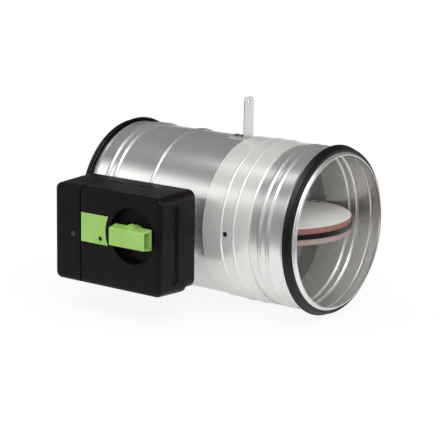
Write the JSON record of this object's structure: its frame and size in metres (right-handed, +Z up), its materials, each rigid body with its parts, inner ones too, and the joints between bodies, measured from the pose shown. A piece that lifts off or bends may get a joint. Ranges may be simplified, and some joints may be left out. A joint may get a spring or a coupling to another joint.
{
  "type": "fire damper",
  "caption": "Round galvanised fire damper: a spring-closed blade in a short duct piece with wall sleeve, lip gaskets, hanging lug and a side mechanism box with reset handle.",
  "frame": {"origin": "on the duct axis at the blade's pivot, the middle of the wall sleeve", "axes": "+X along the duct towards the short front spigot, +Z up, -Y towards the mechanism box"},
  "size_m": [0.332, 0.2981, 0.2561],
  "materials": {
    "galvanised_steel": "zinc coated sheet, satin",
    "pale_sleeve": "pale satin coat",
    "black_plastic": "fine moulded satin",
    "green_plastic": "smooth moulded",
    "black_rubber": "matte",
    "foil_faced_strip": "pale dull foil",
    "fire_board": "pale fibre board",
    "zinc_plated_steel": "bright zinc",
    "dark_steel": "oiled dark",
    "bush_brass": "turned",
    "fuse_copper": "soldered strip",
    "grey_plastic": "moulded"
  },
  "bodies": {
    "casing": {"front_casing": "galvanised_steel", "rear_casing": "galvanised_steel", "wall_sleeve": "pale_sleeve", "intumescent_strip": "foil_faced_strip", "pivot_bushes": "bush_brass", "front_gasket": "black_rubber", "rear_gasket": "black_rubber", "blade_stops": "zinc_plated_steel", "mounting_lug": "galvanised_steel", "lug_rivets": "zinc_plated_steel", "saddle_bracket": "galvanised_steel", "saddle_rivets": "zinc_plated_steel", "shaft_bush": "bush_brass", "mechanism_base": "black_plastic", "mechanism_cover": "black_plastic", "terminal_cover": "black_plastic", "terminal_cover_screw": "zinc_plated_steel", "base_screws": "zinc_plated_steel", "indicator_plate": "green_plastic", "terminal_block": "grey_plastic", "terminal_screws": "zinc_plated_steel", "open_switch": "black_plastic", "closed_switch": "black_plastic", "fuse_holder": "bush_brass", "fuse_link": "fuse_copper", "fuse_rod": "zinc_plated_steel", "latch_pin": "zinc_plated_steel", "closing_spring": "dark_steel"},
    "blade": {"upper_blade_board": "fire_board", "lower_blade_board": "fire_board", "blade_seal": "black_rubber", "blade_pivots": "zinc_plated_steel", "pivot_screws": "zinc_plated_steel", "drive_bracket": "zinc_plated_steel", "bracket_bolts": "zinc_plated_steel", "bracket_pin": "dark_steel"},
    "drive": {"drive_shaft": "zinc_plated_steel", "handle": "green_plastic", "latch_disc": "grey_plastic", "crank": "zinc_plated_steel", "crank_pin": "dark_steel"},
    "link": {"link": "zinc_plated_steel"},
    "button": {"release_button": "black_plastic"},
    "latch": {"latch_lever": "zinc_plated_steel"}
  },
  "joints": [
    {"name": "blade_turn", "type": "hinge", "parent": "casing", "child": "blade", "pos_m": [0, 0, 0], "axis": [0, -1, 0], "range_deg": [0, 90]},
    {"name": "handle_turn", "type": "hinge", "parent": "casing", "child": "drive", "pos_m": [-0.079, 0, 0], "axis": [0, -1, 0], "range_deg": [0, 90], "deforming": ["closing_spring"]},
    {"name": "link_swing", "type": "hinge", "parent": "drive", "child": "link", "pos_m": [-0.05777, -0.084, 0.0212], "axis": [0, -1, 0], "range_deg": [-90, 0]},
    {"name": "button_press", "type": "slide", "parent": "casing", "child": "button", "axis": [0, 1, 0], "range_m": [0, 0.002], "stiffness_N_per_m": 600},
    {"name": "latch_tilt", "type": "hinge", "parent": "casing", "child": "latch", "pos_m": [-0.106, -0.16225, -0.0104], "axis": [0, 0, 1], "range_deg": [-5.3, 0]}
  ],
  "couplings": [
    {"joint": "handle_turn", "follows": "blade_turn", "ratio": 1},
    {"joint": "link_swing", "follows": "blade_turn", "ratio": -1},
    {"joint": "latch_tilt", "follows": "button_press", "rad_per_m": -45.455}
  ]
}
